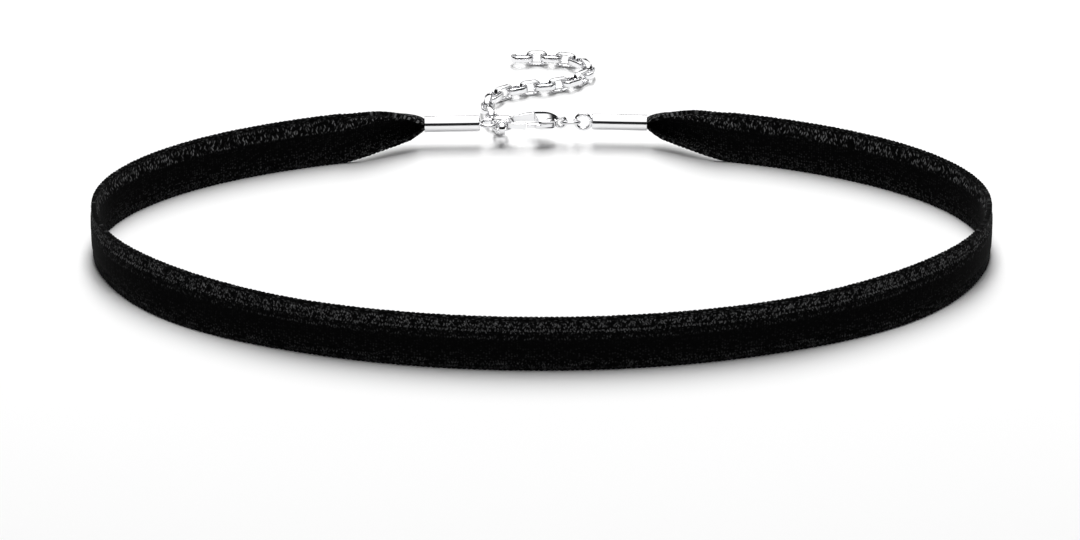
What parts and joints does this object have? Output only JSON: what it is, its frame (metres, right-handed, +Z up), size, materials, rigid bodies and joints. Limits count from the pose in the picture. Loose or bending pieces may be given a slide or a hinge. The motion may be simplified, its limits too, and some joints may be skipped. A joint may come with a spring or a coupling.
{
  "type": "choker necklace",
  "caption": "Black velvet ribbon choker necklace standing as a loop, with polished silver tube ends, a lobster clasp and a belcher extension chain.",
  "frame": {"origin": "middle of the whole outline, seen from above, on the surface that the ribbon's lower edge rests on", "axes": "+X across the loop, +Y from the front of the ribbon towards the clasp behind, +Z up"},
  "size_m": [0.136, 0.1158, 0.008],
  "materials": {
    "velvet": "matte velvet pile between two woven selvedges",
    "silver": "mirror polish"
  },
  "bodies": {
    "necklace": {"velvet_ribbon": "velvet", "left_tube_end": "silver", "right_tube_end": "silver", "clasp_body": "silver", "clasp_ring": "silver", "chain_link_01": "silver", "chain_link_02": "silver", "chain_link_03": "silver", "chain_link_04": "silver", "chain_link_05": "silver", "chain_link_06": "silver", "chain_link_07": "silver", "chain_link_08": "silver", "chain_link_09": "silver", "chain_link_10": "silver", "chain_link_11": "silver", "chain_link_12": "silver", "chain_link_13": "silver", "chain_link_14": "silver", "chain_link_15": "silver", "chain_link_16": "silver", "chain_link_17": "silver", "chain_link_18": "silver", "chain_link_19": "silver", "chain_link_20": "silver", "chain_link_21": "silver", "chain_link_22": "silver", "chain_link_23": "silver"},
    "lever": {"clasp_lever": "silver"}
  },
  "joints": [
    {"name": "lever_pivot", "type": "hinge", "parent": "necklace", "child": "lever", "pos_m": [0.00123, 0.02279, 0.004], "axis": [0, 0, -1], "range_deg": [0, 28], "stiffness_Nm_per_rad": 0.0002}
  ]
}
